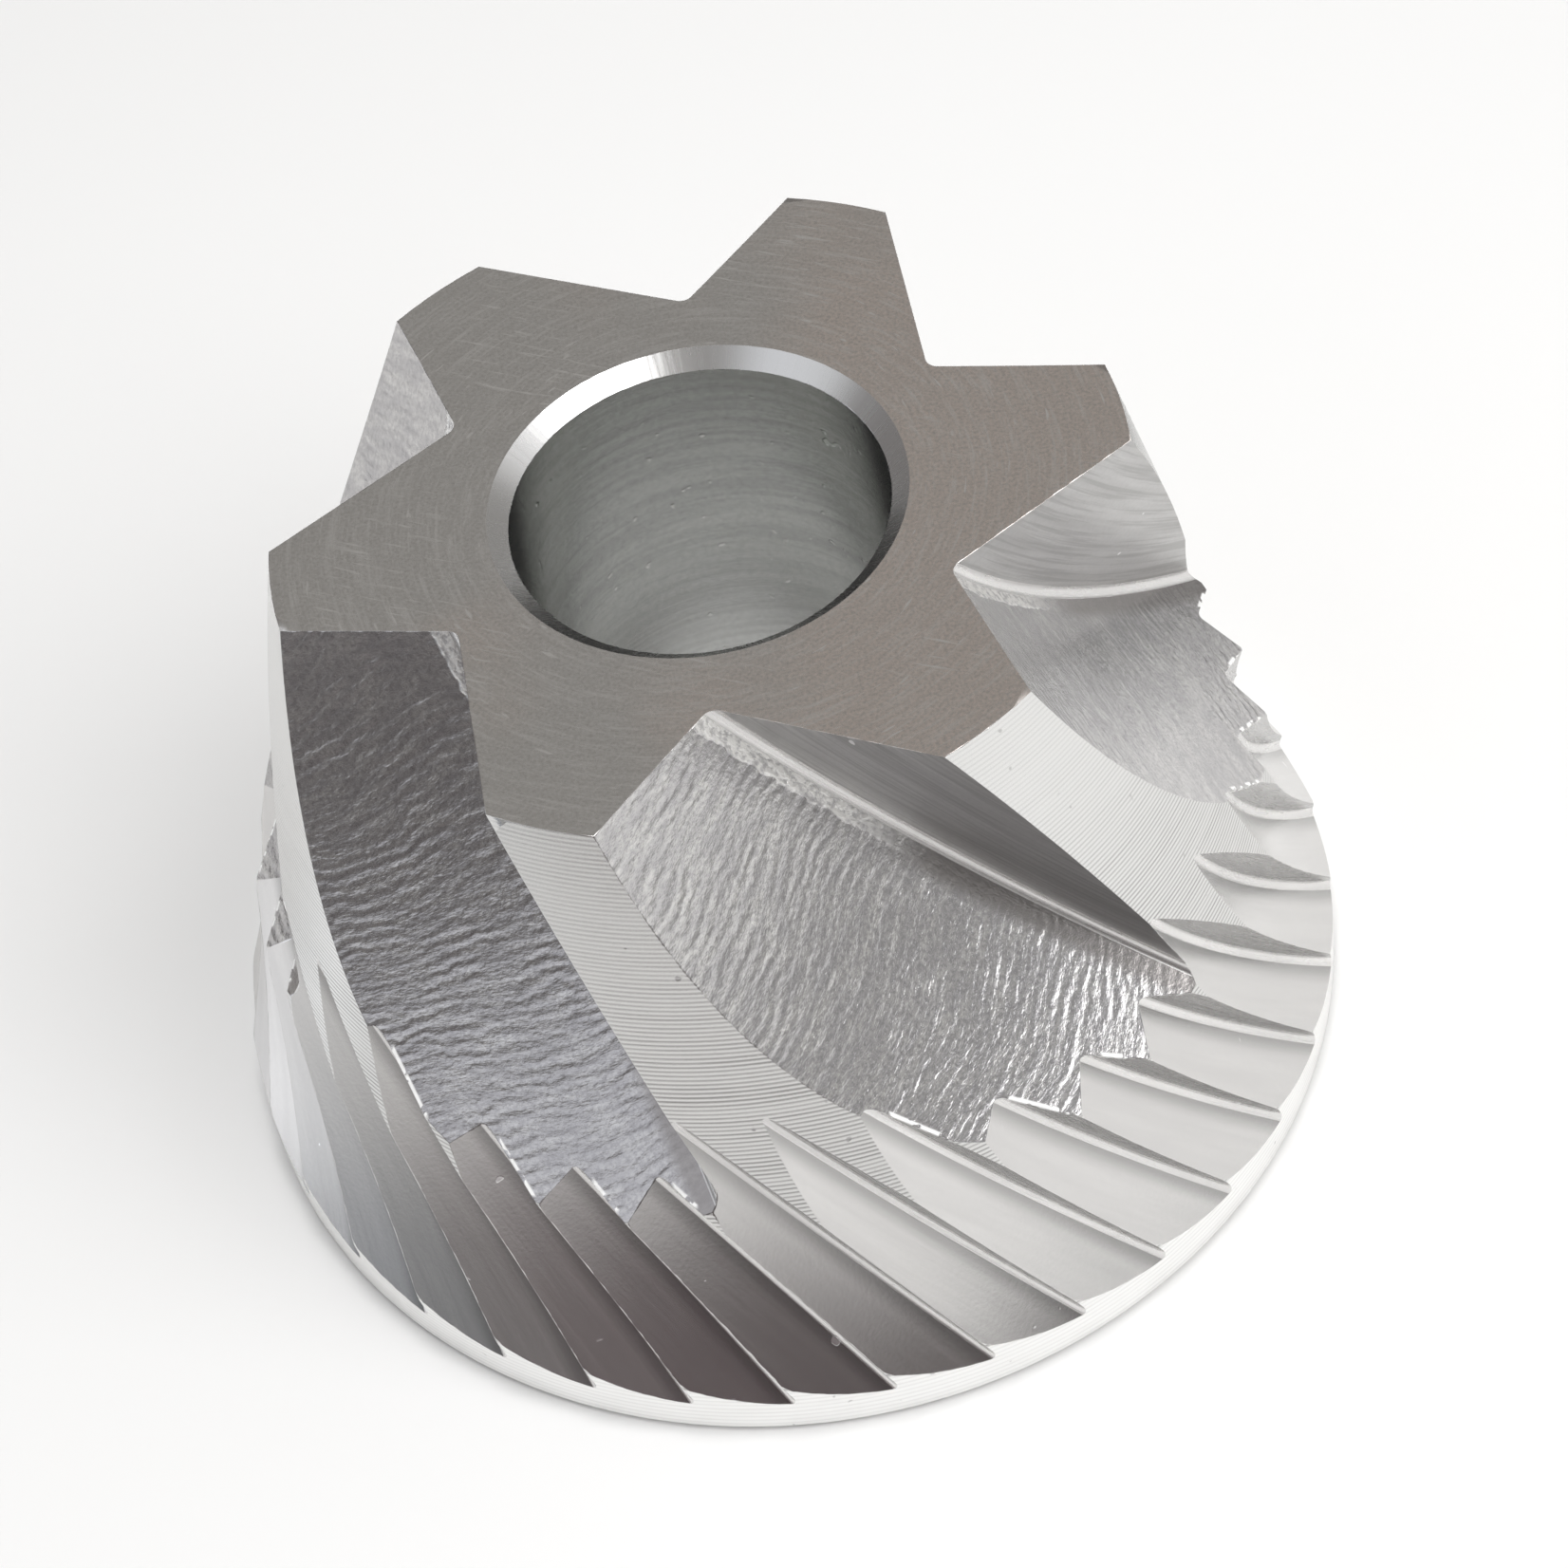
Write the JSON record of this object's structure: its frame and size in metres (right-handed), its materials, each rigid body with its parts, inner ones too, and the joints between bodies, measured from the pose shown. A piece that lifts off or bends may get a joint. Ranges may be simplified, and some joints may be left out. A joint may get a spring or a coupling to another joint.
{
  "type": "coffee grinder cone burr",
  "caption": "Inner cone burr of a coffee grinder: large left-hand flutes over fine grinding grooves, flat ground top and a plain through bore.",
  "frame": {"origin": "centre of the underside, on the bore's axis", "axes": "+Z along the bore from the wide foot to the ground top; a lobe of the top points along +X"},
  "size_m": [0.038, 0.038, 0.024],
  "materials": {
    "steel": "bare steel, ground top, turned lands, milled flutes and ground grooves"
  },
  "bodies": {
    "root": {"cone_burr": "steel"}
  },
  "joints": []
}
